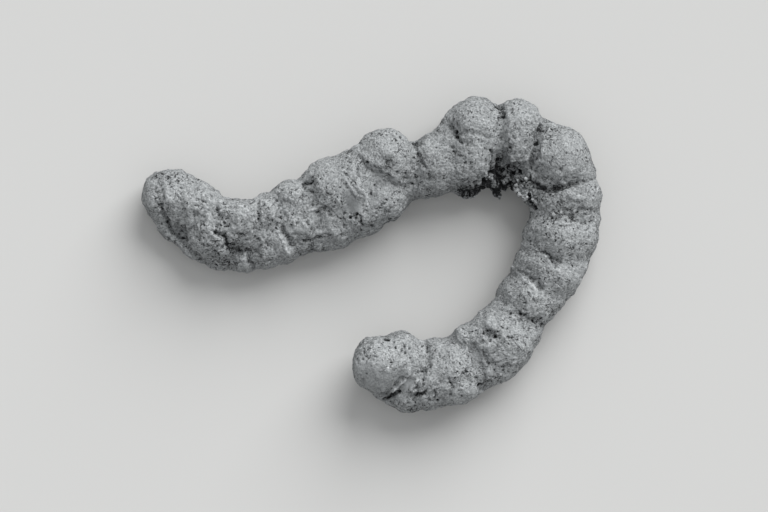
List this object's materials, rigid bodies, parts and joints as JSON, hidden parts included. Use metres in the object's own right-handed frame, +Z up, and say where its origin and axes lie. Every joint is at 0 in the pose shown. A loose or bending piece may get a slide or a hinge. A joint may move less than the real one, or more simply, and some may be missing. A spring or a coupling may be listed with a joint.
{
  "type": "coprolite",
  "caption": "Fossil dropping: a lobed, pitted rope of grey phosphate bent into a hook, with sand grains in its inner bend, lying on its flattened underside.",
  "frame": {"origin": "centre of the bounding box in X and Y, on the surface that the fossil lies on", "axes": "+X along the longest side, from the plain end towards the descent; +Y from the folded end towards the crown; +Z up"},
  "size_m": [0.0232, 0.0158, 0.0038],
  "materials": {
    "phosphate": "matte"
  },
  "bodies": {
    "root": {"coprolite": "phosphate"}
  },
  "joints": []
}
